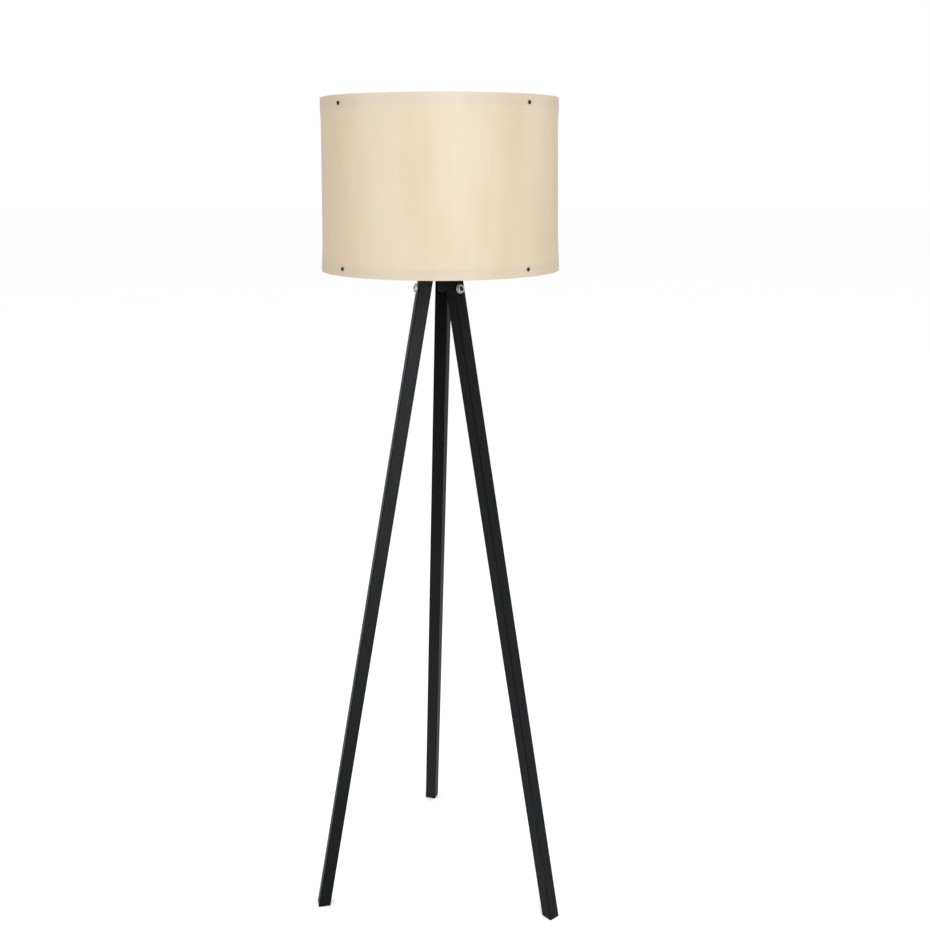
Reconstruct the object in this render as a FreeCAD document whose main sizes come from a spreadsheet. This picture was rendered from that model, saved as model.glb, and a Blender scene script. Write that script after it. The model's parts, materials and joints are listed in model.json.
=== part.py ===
import FreeCAD, Part
import math
import os
import Sketcher

# Tripod floor lamp: three square wooden legs bolted to a small steel hub, an E27 lampholder on
# top of the hub, and a slightly tapered drum shade of translucent film on two fibreboard rings.
# Millimetres and degrees. +Z is up; the origin is on the floor, on the shade's vertical axis.
# +Y points to the back leg's side. "Reach" is distance from that axis, "offset" is sideways.

SIZES = {
    # whole lamp
    "lamp_height": 1449,
    # legs; leg_lean is the outward lean, and each leg's swing is a turn about its own stud
    "leg_count": 3,
    "leg_lean": 10.6,
    "leg_heading": 71.9,
    "swing_back": 5.35,
    "swing_left": 2.8,
    "swing_right": 2.05,
    "leg_top_width": 22.9,
    "leg_foot_width": 21.4,
    "leg_edge_radius": 0.9,
    "leg_above_pivot": 20,
    "leg_blank_reach": 1175,
    "leg_hole_radius": 4.08,
    "pocket_depth": 2.8,
    "pocket_width": 19.9,
    "pocket_below_pivot": 10,
    "pivot_height": 1136.7,
    "pivot_reach": 30.7,
    "pivot_offset": 5.9,
    # hub: a round plate with an ear welded under it for each leg; the ear sits in the leg's pocket
    "hub_top": 1175,
    "hub_thickness": 3,
    "hub_radius": 23,
    "hub_hole_radius": 5.1,
    "ear_end_radius": 8,
    "ear_strap_width": 12,
    "ear_thickness": 2.5,
    "ear_gap": 0.15,
    # studs, washers and thin nuts, M8
    "stud_radius": 4,
    "stud_squeeze": 0.05,
    "stud_tail": 0.5,
    "stud_chamfer": 0.8,
    "washer_radius": 8,
    "washer_hole_radius": 4.2,
    "washer_thickness": 1.6,
    "washer_gap": 0.1,
    "nut_flats": 13,
    "nut_thickness": 4,
    "nut_hole_radius": 4.05,
    "nut_chamfer": 1,
    # nipple through the hub, M10, with its nut, washer and cord bush
    "nipple_radius": 5,
    "nipple_bore_radius": 4.2,
    "nipple_bottom": 1160,
    "nipple_length": 26,
    "nipple_nut_flats": 14,
    "nipple_nut_thickness": 4,
    "nipple_washer_radius": 9,
    "nipple_washer_thickness": 1,
    "bush_bore_radius": 3.4,
    "bush_sleeve_radius": 4.1,
    "bush_sleeve_length": 9,
    "bush_flange_radius": 6.2,
    "bush_flange_thickness": 2,
    # lampholder: cap, shell, core, threaded sleeve and contact
    "cap_bottom": 1176.1,
    "cap_foot_radius": 14,
    "cap_radius": 17.5,
    "cap_height": 24,
    "cap_wall": 1.8,
    "cap_boss_radius": 8.5,
    "cap_boss_height": 9.5,
    "shell_bottom": 1200.3,
    "shell_height": 34,
    "shell_inner_radius": 17,
    "shell_root_radius": 19.4,
    "shell_crest_radius": 20,
    "shell_lip_radius": 15.2,
    "shell_lip_height": 1.5,
    "shoulder_radius": 22.5,
    "shoulder_height": 2.5,
    "shell_pitch": 3,
    "core_bottom": 1190,
    "core_radius": 15.4,
    "core_height": 17,
    "sleeve_radius": 14.4,
    "sleeve_crest_radius": 13.5,
    "sleeve_wall": 0.4,
    "sleeve_height": 23,
    "sleeve_pitch": 3.6,
    "contact_length": 16,
    "contact_width": 5,
    "contact_thickness": 0.5,
    "terminal_reach": 9.5,
    "terminal_radius": 1.5,
    "terminal_head_radius": 2.6,
    "terminal_head_height": 1.8,
    "terminal_depth": 8,
    "terminal_slot_width": 0.7,
    # ring nut that clamps the shade's spider on the lampholder's shoulder
    "ring_nut_bottom": 1204.7,
    "ring_nut_bore_radius": 20.3,
    "ring_nut_flange_radius": 29,
    "ring_nut_flange_height": 2.5,
    "ring_nut_radius": 24.5,
    "ring_nut_height": 10,
    "ring_nut_grips": 24,
    "ring_nut_grip_radius": 0.9,
    "ring_nut_grip_offset": 0.3,
    "ring_nut_grip_start": 4.5,
    # spider: flat ring and three arms that slope down to the lower ring
    "spider_bottom": 1203,
    "spider_thickness": 1.5,
    "spider_radius": 31,
    "spider_bore_radius": 20.5,
    "arm_count": 3,
    "arm_heading": 90,
    "arm_width": 12,
    "arm_root": 28,
    "arm_bend": 176,
    "arm_tip": 196,
    "arm_screw_reach": 190,
    "arm_screw_radius": 1.6,
    "arm_screw_length": 7.5,
    "arm_screw_head_radius": 3.4,
    "arm_screw_head_height": 2,
    # shade: film and its two rings
    "shade_height": 279,
    "shade_top_radius": 196.5,
    "shade_bottom_radius": 202.2,
    "film_thickness": 0.8,
    "ring_thickness": 8,
    "ring_width": 12,
    "ring_gap": 0.25,
    "lower_ring_rise": 8,
    "upper_ring_drop": 8.5,
    # shade screws: black round heads outside the film, two in front and two behind on each ring
    "lower_screw_heading": -92.5,
    "lower_screw_spread": 47.2,
    "upper_screw_heading": -93,
    "upper_screw_spread": 48.8,
    "screw_head_radius": 3.1,
    "screw_head_height": 2.5,
    "screw_head_lift": 0.05,
    "screw_radius": 1.5,
    "screw_hole_radius": 1.6,
    "screw_length": 9.5,
    "screw_hole_depth": 16,
    "screw_slot_width": 0.8,
    "screw_slot_depth": 0.9,
    # bulb
    "bulb_bottom": 1208.2,
    "bulb_tip_radius": 4.6,
    "bulb_tip_height": 1.4,
    "bulb_insulator_height": 3.6,
    "bulb_neck_radius": 10,
    "bulb_cap_radius": 13.1,
    "bulb_cap_root_radius": 12.4,
    "bulb_cap_wall": 0.5,
    "bulb_cap_height": 23,
    "bulb_housing_height": 44,
    "bulb_housing_foot": 14,
    "bulb_housing_radius": 29.2,
    "bulb_wall": 1.4,
    "bulb_globe_radius": 30,
    "bulb_globe_wall": 1.2,
    "bulb_globe_cut": -6,
}

X_AXIS = FreeCAD.Vector(1, 0, 0)
Y_AXIS = FreeCAD.Vector(0, 1, 0)
Z_AXIS = FreeCAD.Vector(0, 0, 1)
LEGS = {"back": 0, "left": 1, "right": 2}
# how far a cutting tool reaches past the solid that it cuts
OVERCUT = 1
# the length at which a new sketch dimension starts, before it is bound to the sheet
START_LENGTH = 10.0

doc = FreeCAD.newDocument("tripod_floor_lamp")
sheet = doc.addObject("Spreadsheet::Sheet", "Sizes")
for row, (alias, value) in enumerate(SIZES.items(), start=1):
    sheet.set(f"A{row}", alias)
    sheet.set(f"B{row}", str(value))
    sheet.setAlias(f"B{row}", alias)
doc.recompute()

parts = []


def size(alias):
    """A driving dimension, as the sheet holds it."""
    return float(getattr(sheet, alias))


def bind(thing, **expressions):
    """Bind properties to cells: an expression names its cells with a leading $."""
    for path, expression in expressions.items():
        thing.setExpression(path, expression.replace("$", "Sizes."))
    return thing


def solid(kind, name, place=None, **expressions):
    """A Part primitive whose sizes are bound to the sheet."""
    thing = doc.addObject("Part::" + kind, name)
    if place:
        thing.Placement = place
    return bind(thing, **expressions)


def fuse(name, shapes):
    """Several solids as one, or as a group of separate solids when they don't touch."""
    thing = doc.addObject("Part::MultiFuse", name)
    thing.Shapes = shapes
    return thing


def cut(name, base, tools):
    """A solid with one or more tools taken out of it."""
    thing = doc.addObject("Part::Cut", name)
    thing.Base = base
    thing.Tool = tools[0] if len(tools) == 1 else fuse(name + "_tools", tools)
    return thing


def common(name, base, tool):
    """The space that two solids share."""
    thing = doc.addObject("Part::Common", name)
    thing.Base = base
    thing.Tool = tool
    return thing


def sub_part(label, thing):
    """List a finished piece under the name that its file takes."""
    thing.Label = label
    parts.append(thing)
    return thing


def move(x=0, y=0, z=0):
    """A placement that only moves."""
    return FreeCAD.Placement(FreeCAD.Vector(x, y, z), FreeCAD.Rotation())


def turn(axis, angle):
    """A placement that only turns about an axis through the origin."""
    return FreeCAD.Placement(FreeCAD.Vector(), FreeCAD.Rotation(axis, angle))


def plane(body, role):
    """One of a body's own origin planes or axes."""
    return next(item for item in body.Origin.OriginFeatures if item.Role == role)


def new_sketch(body, name, role, rise=None):
    """A sketch on one of the body's planes, raised by an expression if one is given."""
    sketch = body.newObject("Sketcher::SketchObject", name)
    sketch.AttachmentSupport = [(plane(body, role), "")]
    sketch.MapMode = "FlatFace"
    if rise:
        bind(sketch, **{".AttachmentOffset.Base.z": rise})
    return sketch


def set_distance(sketch, direction, corner, name, expression):
    """Hold a corner at a distance from the sketch's origin, along X or Y."""
    if expression == "0":
        axis = -2 if direction == "X" else -1
        sketch.addConstraint(Sketcher.Constraint("PointOnObject", corner, 1, axis))
        return
    index = sketch.addConstraint(Sketcher.Constraint("Distance" + direction, -1, 1, corner, 1, START_LENGTH))
    sketch.renameConstraint(index, name)
    bind(sketch, **{"Constraints." + name: expression})


def draw_outline(sketch, corners):
    """A closed outline of straight lines; each corner is a pair of expressions."""
    count = len(corners)
    angles = [2 * math.pi * i / count for i in range(count)]
    middle = FreeCAD.Vector(START_LENGTH, START_LENGTH, 0)
    start = [middle + FreeCAD.Vector(math.cos(angle), math.sin(angle), 0) * (START_LENGTH / 2)
             for angle in angles]
    for i in range(count):
        sketch.addGeometry(Part.LineSegment(start[i], start[(i + 1) % count]))
    for i in range(count):
        sketch.addConstraint(Sketcher.Constraint("Coincident", i, 2, (i + 1) % count, 1))
    for i, (x, y) in enumerate(corners):
        set_distance(sketch, "X", i, f"x{i}", x)
        set_distance(sketch, "Y", i, f"y{i}", y)


def turned(name, bottom, corners):
    """A piece turned about the lamp's axis: corners are radius and height above its bottom."""
    body = doc.addObject("PartDesign::Body", name)
    profile = new_sketch(body, name + "_profile", "XZ_Plane")
    draw_outline(profile, corners)
    revolution = body.newObject("PartDesign::Revolution", name + "_turned")
    revolution.Profile = profile
    revolution.ReferenceAxis = (profile, ["V_Axis"])
    revolution.Angle = 360
    bind(body, **{".Placement.Base.z": bottom})
    return body


def hexagon_nut(name, flats, thickness, hole, chamfer):
    """A hexagon nut on the XY plane, its corners chamfered at both ends."""
    body = doc.addObject("PartDesign::Body", name + "_hexagon")
    outline = new_sketch(body, name + "_outline", "XY_Plane")
    angles = [math.radians(60 * i) for i in range(6)]
    corners = [FreeCAD.Vector(math.cos(angle), math.sin(angle), 0) * START_LENGTH for angle in angles]
    for i in range(6):
        outline.addGeometry(Part.LineSegment(corners[i], corners[(i + 1) % 6]))
    outline.addGeometry(Part.Circle(FreeCAD.Vector(), Z_AXIS, START_LENGTH), True)
    for i in range(6):
        outline.addConstraint(Sketcher.Constraint("Coincident", i, 2, (i + 1) % 6, 1))
        outline.addConstraint(Sketcher.Constraint("PointOnObject", i, 1, 6))
    for i in range(5):
        outline.addConstraint(Sketcher.Constraint("Equal", i, i + 1))
    outline.addConstraint(Sketcher.Constraint("Coincident", 6, 3, -1, 1))
    outline.addConstraint(Sketcher.Constraint("PointOnObject", 0, 1, -1))
    index = outline.addConstraint(Sketcher.Constraint("Radius", 6, START_LENGTH))
    outline.renameConstraint(index, "corner")
    bind(outline, **{"Constraints.corner": f"{flats} / sqrt(3)"})
    pad = body.newObject("PartDesign::Pad", name + "_pad")
    pad.Profile = outline
    bind(pad, Length=thickness)
    # the chamfer is what a turned blank with sloping ends leaves of the hexagon
    blank = turned(name + "_blank", "0", [
        (hole, "0"),
        (f"{flats} / 2", "0"),
        (f"{flats} / 2 + {chamfer} * 1.2", f"{chamfer} * 0.7"),
        (f"{flats} / 2 + {chamfer} * 1.2", f"{thickness} - {chamfer} * 0.7"),
        (f"{flats} / 2", thickness),
        (hole, thickness),
    ])
    return common(name, body, blank)


def leg_place(side, swing):
    """A leg's own frame: origin at its pivot, X along the stud outwards, Z up along the leg."""
    heading = size("leg_heading") + LEGS[side] * 360 / size("leg_count")
    pivot = move(size("pivot_reach"), size("pivot_offset"), size("pivot_height"))
    lean = turn(Y_AXIS, -size("leg_lean"))
    return turn(Z_AXIS, heading) * pivot * lean * turn(X_AXIS, swing)


def make_leg(side, floor):
    """A tapered square leg, its foot cut level with the floor, with a pocket for the hub's ear."""
    place = leg_place(side, size("swing_" + side))
    # the wedge tapers along its own +Y, which is turned to point down the leg
    body = doc.addObject("PartDesign::Body", f"leg_{side}_blank")
    body.Placement = place * move(z=size("leg_above_pivot")) * turn(X_AXIS, -90)
    wedge = body.newObject("PartDesign::AdditiveWedge", f"leg_{side}_taper")
    bind(wedge, Ymin="0", Ymax="$leg_above_pivot + $leg_blank_reach")
    for letter in "XZ":
        bind(wedge, **{
            letter + "min": "-$leg_top_width / 2",
            letter + "max": "$leg_top_width / 2",
            letter + "2min": "-$leg_foot_width / 2",
            letter + "2max": "$leg_foot_width / 2",
        })
    doc.recompute()
    long_edges = [f"Edge{i}" for i, edge in enumerate(wedge.Shape.Edges, start=1)
                  if edge.Length > size("leg_blank_reach")]
    rounded = body.newObject("PartDesign::Fillet", f"leg_{side}_rounded")
    rounded.Base = (wedge, long_edges)
    bind(rounded, Radius="$leg_edge_radius")
    body.Tip = rounded
    inner_face = -size("leg_top_width") / 2
    corner = move(inner_face - OVERCUT, -size("pocket_width") / 2, -size("pocket_below_pivot"))
    pocket = solid("Box", f"leg_{side}_pocket", place * corner, Width="$pocket_width",
                   Length=f"$pocket_depth + {OVERCUT}",
                   Height=f"$pocket_below_pivot + $leg_above_pivot + {OVERCUT}")
    hole = solid("Cylinder", f"leg_{side}_hole", place * move(inner_face - OVERCUT) * turn(Y_AXIS, 90),
                 Radius="$leg_hole_radius", Height=f"$leg_top_width + 2 * {OVERCUT}")
    return sub_part(f"leg_{side}", cut(f"leg_{side}", body, [pocket, hole, floor]))


def make_legs():
    """The three legs."""
    depth = 60
    reach = 400
    floor = solid("Box", "floor_block", move(-reach, -reach, -depth))
    floor.Length = 2 * reach
    floor.Width = 2 * reach
    floor.Height = depth
    for side in LEGS:
        make_leg(side, floor)


def ear_inner_face():
    """How far the inner face of an ear is from the leg's centre line, along the stud."""
    half = size("leg_top_width") / 2
    return half - size("pocket_depth") + size("ear_gap") + size("ear_thickness")


def make_hub():
    """The steel hub: a round plate and three ears with rounded ends and stud holes."""
    underside = size("hub_top") - size("hub_thickness")
    pieces = [solid("Cylinder", "hub_plate", move(z=underside),
                    Radius="$hub_radius", Height="$hub_thickness")]
    holes = [solid("Cylinder", "hub_centre_hole", move(z=underside - OVERCUT),
                   Radius="$hub_hole_radius", Height=f"$hub_thickness + 2 * {OVERCUT}")]
    half_strap = size("ear_strap_width") / 2
    lean = math.radians(size("leg_lean"))
    rise = (size("hub_top") - size("hub_thickness") / 2 - size("pivot_height")) / math.cos(lean)
    rise += ear_inner_face() * math.tan(lean)
    for side in LEGS:
        place = leg_place(side, 0) * move(-ear_inner_face())
        strap = solid("Box", f"ear_{side}_strap", place * move(y=-half_strap),
                      Length="$ear_thickness", Width="$ear_strap_width")
        strap.Height = rise
        end = solid("Cylinder", f"ear_{side}_end", place * turn(Y_AXIS, 90),
                    Radius="$ear_end_radius", Height="$ear_thickness")
        pieces += [strap, end]
        holes.append(solid("Cylinder", f"ear_{side}_hole", place * move(-OVERCUT) * turn(Y_AXIS, 90),
                           Radius="$stud_radius - $stud_squeeze",
                           Height=f"$ear_thickness + 2 * {OVERCUT}"))
    sub_part("hub_bracket", cut("hub_bracket", fuse("hub_solid", pieces), holes))


def make_stud_sets():
    """A clinched M8 stud, a washer and a nut for each leg."""
    outer_face = size("leg_top_width") / 2 + size("washer_gap")
    stack = size("washer_thickness") + size("nut_thickness") + size("stud_tail")
    inner = ear_inner_face()
    for side in LEGS:
        outwards = leg_place(side, 0) * turn(Y_AXIS, 90)
        shank = solid("Cylinder", f"stud_{side}_shank", outwards * move(z=-inner), Radius="$stud_radius")
        shank.Height = inner + outer_face + stack - size("stud_chamfer")
        end = solid("Cone", f"stud_{side}_end", outwards * move(z=outer_face + stack - size("stud_chamfer")),
                    Radius1="$stud_radius", Radius2="$stud_radius - $stud_chamfer", Height="$stud_chamfer")
        sub_part(f"stud_{side}", fuse(f"stud_{side}", [shank, end]))
        disc = solid("Cylinder", f"washer_{side}_disc", outwards * move(z=outer_face),
                     Radius="$washer_radius", Height="$washer_thickness")
        hole = solid("Cylinder", f"washer_{side}_hole", outwards * move(z=outer_face - OVERCUT),
                     Radius="$washer_hole_radius", Height=f"$washer_thickness + 2 * {OVERCUT}")
        sub_part(f"washer_{side}", cut(f"washer_{side}", disc, [hole]))
        nut = hexagon_nut(f"nut_{side}", "$nut_flats", "$nut_thickness", "$nut_hole_radius", "$nut_chamfer")
        nut.Placement = outwards * move(z=outer_face + size("washer_thickness"))
        sub_part(f"nut_{side}", nut)


def make_nipple():
    """The threaded tube through the hub that carries the cord and the lampholder."""
    sub_part("nipple", turned("nipple", "$nipple_bottom", [
        ("$nipple_bore_radius", "0"),
        ("$nipple_radius", "0"),
        ("$nipple_radius", "$nipple_length"),
        ("$nipple_bore_radius", "$nipple_length"),
    ]))
    nut = hexagon_nut("nipple_lock", "$nipple_nut_flats", "$nipple_nut_thickness",
                      "$nipple_radius + $stud_squeeze", "$nut_chamfer")
    nut.Placement = move(z=size("hub_top") - size("hub_thickness") - size("nipple_nut_thickness"))
    sub_part("nipple_nut", nut)
    sub_part("nipple_washer", turned("nipple_washer", "$hub_top", [
        ("$hub_hole_radius", "0"),
        ("$nipple_washer_radius", "0"),
        ("$nipple_washer_radius", "$nipple_washer_thickness"),
        ("$hub_hole_radius", "$nipple_washer_thickness"),
    ]))
    flange = "$bush_flange_thickness"
    sub_part("cord_bush", turned("cord_bush", "$nipple_bottom - $bush_flange_thickness", [
        ("$bush_bore_radius", "0"),
        ("$bush_flange_radius", "0"),
        ("$bush_flange_radius", flange),
        ("$bush_sleeve_radius", flange),
        ("$bush_sleeve_radius", f"{flange} + $bush_sleeve_length"),
        ("$bush_bore_radius", f"{flange} + $bush_sleeve_length"),
    ]))


def ridges(root, crest, start, pitch, count):
    """Corners of a row of rounded-off thread ridges up one side of a turned piece."""
    corners = []
    for i in range(count):
        foot = f"{start} + {i} * {pitch}"
        corners.append((root, f"{foot} + {pitch} * 0.1"))
        corners.append((crest, f"{foot} + {pitch} * 0.35"))
        corners.append((crest, f"{foot} + {pitch} * 0.65"))
        corners.append((root, f"{foot} + {pitch} * 0.9"))
    return corners


def make_lampholder():
    """The lampholder's cap, shell, core, threaded sleeve, contact and terminal screws."""
    inner = "$cap_radius - $cap_wall"
    sub_part("holder_cap", turned("holder_cap", "$cap_bottom", [
        ("$hub_hole_radius", "0"),
        ("$cap_foot_radius", "0"),
        ("$cap_radius", "$cap_radius - $cap_foot_radius"),
        ("$cap_radius", "$cap_height"),
        (inner, "$cap_height"),
        (inner, "$cap_radius - $cap_foot_radius + 1"),
        ("$cap_boss_radius", "$cap_boss_height / 2"),
        ("$cap_boss_radius", "$cap_boss_height"),
        ("$hub_hole_radius", "$cap_boss_height"),
    ]))
    lip = "$shell_height - $shell_lip_height"
    outside = ridges("$shell_root_radius", "$shell_crest_radius", "$shoulder_height", "$shell_pitch", 9)
    sub_part("holder_shell", turned("holder_shell", "$shell_bottom", [
        ("$shell_inner_radius", "0"),
        ("$shoulder_radius", "0"),
        ("$shoulder_radius", "$shoulder_height"),
        ("$shell_root_radius", "$shoulder_height"),
        *outside,
        ("$shell_root_radius", "$shell_height - 1"),
        ("$shell_root_radius - 1", "$shell_height"),
        ("$shell_lip_radius", "$shell_height"),
        ("$shell_lip_radius", lip),
        ("$shell_inner_radius", lip),
    ]))
    head_drop = size("terminal_head_height")
    slot_width = size("terminal_slot_width")
    slot_length = 3 * size("terminal_head_radius")
    screws = []
    wells = []
    for i in range(2):
        spot = turn(Z_AXIS, 180 * i) * move(size("terminal_reach"), 0, size("core_bottom"))
        head = solid("Cylinder", f"terminal_{i}_head", spot * move(z=-head_drop),
                     Radius="$terminal_head_radius", Height="$terminal_head_height")
        shank = solid("Cylinder", f"terminal_{i}_shank", spot,
                      Radius="$terminal_radius", Height="$terminal_depth")
        slot = solid("Box", f"terminal_{i}_slot",
                     spot * move(-slot_length / 2, -slot_width / 2, -head_drop - OVERCUT))
        slot.Length = slot_length
        slot.Width = slot_width
        slot.Height = head_drop / 2 + OVERCUT
        screws.append(cut(f"terminal_{i}", fuse(f"terminal_{i}_solid", [head, shank]), [slot]))
        wells.append(solid("Cylinder", f"terminal_{i}_well", spot * move(z=-OVERCUT),
                           Radius="$terminal_radius + $stud_squeeze",
                           Height=f"$terminal_depth + 2 * {OVERCUT}"))
    sub_part("terminal_screws", fuse("terminal_screws", screws))
    core = turned("core_block", "$core_bottom", [
        ("0", "0"),
        ("$core_radius", "0"),
        ("$core_radius", "$core_height"),
        ("0", "$core_height"),
    ])
    sub_part("holder_core", cut("holder_core", core, wells))
    sleeve_root = "$sleeve_radius - $sleeve_wall"
    wall_inside = ridges(sleeve_root, "$sleeve_crest_radius", "1", "$sleeve_pitch", 6)
    wall_outside = ridges("$sleeve_radius", "$sleeve_crest_radius + $sleeve_wall", "1", "$sleeve_pitch", 6)
    sub_part("holder_sleeve", turned("holder_sleeve", "$core_bottom + $core_height", [
        (sleeve_root, "0"),
        ("$sleeve_radius", "0"),
        *wall_outside,
        ("$sleeve_radius", "$sleeve_height"),
        (sleeve_root, "$sleeve_height"),
        *reversed(wall_inside),
    ]))
    contact_place = move(-size("contact_length") / 2, -size("contact_width") / 2,
                         size("core_bottom") + size("core_height"))
    sub_part("holder_contact", solid("Box", "holder_contact", contact_place,
                                     Length="$contact_length", Width="$contact_width",
                                     Height="$contact_thickness"))


def make_ring_nut():
    """The flanged ring that screws down the lampholder's thread on to the spider."""
    ring = turned("ring_nut_turned", "$ring_nut_bottom", [
        ("$ring_nut_bore_radius", "0"),
        ("$ring_nut_flange_radius", "0"),
        ("$ring_nut_flange_radius", "$ring_nut_flange_height"),
        ("$ring_nut_radius", "$ring_nut_flange_height + 1"),
        ("$ring_nut_radius", "$ring_nut_height"),
        ("$ring_nut_bore_radius", "$ring_nut_height"),
    ])
    flutes = []
    count = int(size("ring_nut_grips"))
    start = move(size("ring_nut_radius") + size("ring_nut_grip_offset"), 0,
                 size("ring_nut_bottom") + size("ring_nut_grip_start"))
    for i in range(count):
        flutes.append(solid("Cylinder", f"ring_nut_flute_{i}", turn(Z_AXIS, 360 * i / count) * start,
                            Radius="$ring_nut_grip_radius", Height="$ring_nut_height"))
    sub_part("shade_ring_nut", cut("shade_ring_nut", ring, flutes))


def make_spider():
    """The shade's steel spider: a flat ring and three arms that slope down to the lower ring."""
    ring = solid("Cylinder", "spider_disc", move(z=size("spider_bottom")),
                 Radius="$spider_radius", Height="$spider_thickness")
    bore = solid("Cylinder", "spider_bore", move(z=size("spider_bottom") - OVERCUT),
                 Radius="$spider_bore_radius", Height=f"$spider_thickness + 2 * {OVERCUT}")
    ring_top = size("lamp_height") - size("shade_height") + size("lower_ring_rise") + size("ring_thickness")
    run = size("arm_bend") - size("arm_root")
    drop = size("spider_bottom") - ring_top
    slope = math.degrees(math.atan2(drop, run))
    pieces = [ring]
    holes = [bore]
    screws = []
    count = int(size("arm_count"))
    for i in range(count):
        heading = turn(Z_AXIS, size("arm_heading") + 360 * i / count)
        start = heading * move(size("arm_root"), -size("arm_width") / 2, size("spider_bottom"))
        slant = solid("Box", f"arm_{i}_slant", start * turn(Y_AXIS, slope),
                      Width="$arm_width", Height="$spider_thickness")
        slant.Length = math.hypot(run, drop)
        flat_place = heading * move(size("arm_bend"), -size("arm_width") / 2, ring_top)
        flat = solid("Box", f"arm_{i}_flat", flat_place,
                     Length="$arm_tip - $arm_bend", Width="$arm_width", Height="$spider_thickness")
        pieces += [slant, flat]
        spot = heading * move(size("arm_screw_reach"), 0, ring_top)
        holes.append(solid("Cylinder", f"arm_{i}_hole", spot * move(z=-OVERCUT),
                           Radius="$arm_screw_radius + $stud_squeeze",
                           Height=f"$spider_thickness + 2 * {OVERCUT}"))
        head = solid("Cylinder", f"arm_screw_{i}_head", spot * move(z=size("spider_thickness")),
                     Radius="$arm_screw_head_radius", Height="$arm_screw_head_height")
        shank = solid("Cylinder", f"arm_screw_{i}_shank",
                      spot * move(z=size("spider_thickness") - size("arm_screw_length")),
                      Radius="$arm_screw_radius", Height="$arm_screw_length")
        screws.append(fuse(f"arm_screw_{i}", [head, shank]))
    sub_part("shade_spider", cut("shade_spider", fuse("spider_solid", pieces), holes))
    sub_part("spider_screws", fuse("spider_screws", screws))


def film_radius(height):
    """The film's outside radius at a height above the floor."""
    bottom = size("lamp_height") - size("shade_height")
    share = (height - bottom) / size("shade_height")
    return size("shade_bottom_radius") + share * (size("shade_top_radius") - size("shade_bottom_radius"))


def screw_headings(level):
    """The four directions of the lower or upper ring's screws: a pair in front and a pair behind."""
    front = size(level + "_screw_heading")
    spread = size(level + "_screw_spread")
    return [front - spread, front + spread, front + 180 - spread, front + 180 + spread]


def make_shade_screws(level, height, holes):
    """A ring's four screws, and the tools that drill their holes in the film and the ring."""
    name = level + "_shade_screws"
    radius = film_radius(height)
    sphere_radius = (size("screw_head_radius") ** 2 + size("screw_head_height") ** 2)
    sphere_radius /= 2 * size("screw_head_height")
    screws = []
    slot_length = size("screw_head_radius") * 1.1
    slot_floor = size("screw_head_height") - size("screw_slot_depth")
    slot_corner = move(-slot_length / 2, -size("screw_slot_width") / 2, slot_floor)
    for i, heading in enumerate(screw_headings(level)):
        # in a screw's own frame, Z points out of the shade and the film's surface is at zero
        place = turn(Z_AXIS, heading) * move(radius + size("screw_head_lift"), 0, height)
        place = place * turn(Y_AXIS, 90)
        ball = solid("Sphere", f"{name}_{i}_ball", place * move(z=size("screw_head_height") - sphere_radius))
        ball.Radius = sphere_radius
        keep = solid("Cylinder", f"{name}_{i}_keep", place,
                     Radius="$screw_head_radius", Height="$screw_head_height")
        head = common(f"{name}_{i}_head", ball, keep)
        shank = solid("Cylinder", f"{name}_{i}_shank", place * move(z=-size("screw_length")),
                      Radius="$screw_radius", Height="$screw_length + $screw_head_height / 8")
        slots = []
        for quarter in (0, 90):
            slot = solid("Box", f"{name}_{i}_slot_{quarter}", place * turn(Z_AXIS, quarter) * slot_corner,
                         Width="$screw_slot_width", Height=f"$screw_slot_depth + {OVERCUT}")
            slot.Length = slot_length
            slots.append(slot)
        screws.append(cut(f"{name}_{i}", fuse(f"{name}_{i}_solid", [head, shank]), slots))
        holes.append(solid("Cylinder", f"{name}_{i}_hole", place * move(z=-size("screw_hole_depth")),
                           Radius="$screw_hole_radius", Height=f"$screw_hole_depth + {OVERCUT}"))
    sub_part(name, fuse(name, screws))


def make_ring(name, bottom, holes):
    """A flat fibreboard ring just inside the film."""
    tightest = min(film_radius(bottom), film_radius(bottom + size("ring_thickness")))
    outer = tightest - size("film_thickness") - size("ring_gap")
    disc = solid("Cylinder", f"{name}_disc", move(z=bottom), Height="$ring_thickness")
    disc.Radius = outer
    bore = solid("Cylinder", f"{name}_bore", move(z=bottom - OVERCUT),
                 Height=f"$ring_thickness + 2 * {OVERCUT}")
    bore.Radius = outer - size("ring_width")
    return sub_part(name, cut(name, disc, [bore] + holes))


def make_shade():
    """The film, its two rings and the screws that hold them together."""
    bottom = size("lamp_height") - size("shade_height")
    lower = bottom + size("lower_ring_rise")
    upper = size("lamp_height") - size("upper_ring_drop") - size("ring_thickness")
    half = size("ring_thickness") / 2
    lower_holes = []
    upper_holes = []
    make_shade_screws("lower", lower + half, lower_holes)
    make_shade_screws("upper", upper + half, upper_holes)
    outside = solid("Cone", "film_outside", move(z=bottom), Radius1="$shade_bottom_radius",
                    Radius2="$shade_top_radius", Height="$shade_height")
    inside = solid("Cone", "film_inside", move(z=bottom), Radius1="$shade_bottom_radius - $film_thickness",
                   Radius2="$shade_top_radius - $film_thickness", Height="$shade_height")
    sub_part("shade_film", cut("shade_film", outside, [inside] + lower_holes + upper_holes))
    arm_holes = []
    count = int(size("arm_count"))
    for i in range(count):
        spot = turn(Z_AXIS, size("arm_heading") + 360 * i / count) * move(size("arm_screw_reach"), 0, lower)
        arm_holes.append(solid("Cylinder", f"ring_pilot_{i}", spot,
                               Radius="$arm_screw_radius + $stud_squeeze",
                               Height=f"$ring_thickness + {OVERCUT}"))
    make_ring("lower_ring", lower, lower_holes + arm_holes)
    make_ring("upper_ring", upper, upper_holes)


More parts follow.
